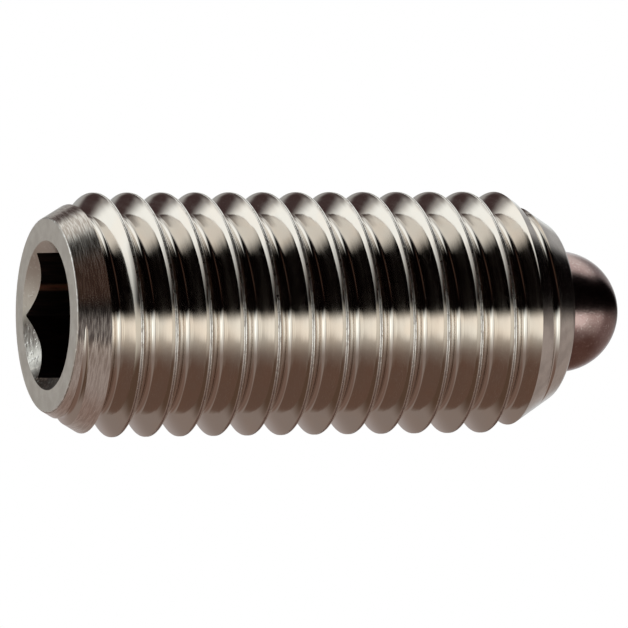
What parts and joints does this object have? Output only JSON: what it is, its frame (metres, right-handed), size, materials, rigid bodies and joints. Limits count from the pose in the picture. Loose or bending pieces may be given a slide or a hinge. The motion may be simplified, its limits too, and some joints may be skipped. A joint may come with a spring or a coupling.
{
  "type": "spring plunger",
  "caption": "Fully threaded cylindrical body with a hexagon socket in one end and a spring-loaded, domed pin standing out of the other.",
  "frame": {"origin": "centre of the flat end face around the hexagon socket, which is the face it stands on", "axes": "+Z along the thread axis, from the socket end to the tip of the pin; the hexagon's corners lie along Y and its flats face X"},
  "size_m": [0.012, 0.012, 0.0297],
  "materials": {
    "body_steel": "bright turned stainless steel, thread flanks polished, end chamfer with lathe marks",
    "pin_steel": "hardened steel, dark reddish-brown heat-treated skin, satin",
    "spring_steel": "drawn stainless spring wire, ends ground flat"
  },
  "bodies": {
    "body": {"threaded_body": "body_steel", "compression_spring": "spring_steel"},
    "pin": {"thrust_pin": "pin_steel"}
  },
  "joints": [
    {"name": "pin_slide", "type": "slide", "parent": "body", "child": "pin", "axis": [0, 0, -1], "range_m": [0, 0.0033], "stiffness_N_per_m": 7740, "springref_m": -0.0026, "deforming": ["compression_spring"]}
  ]
}
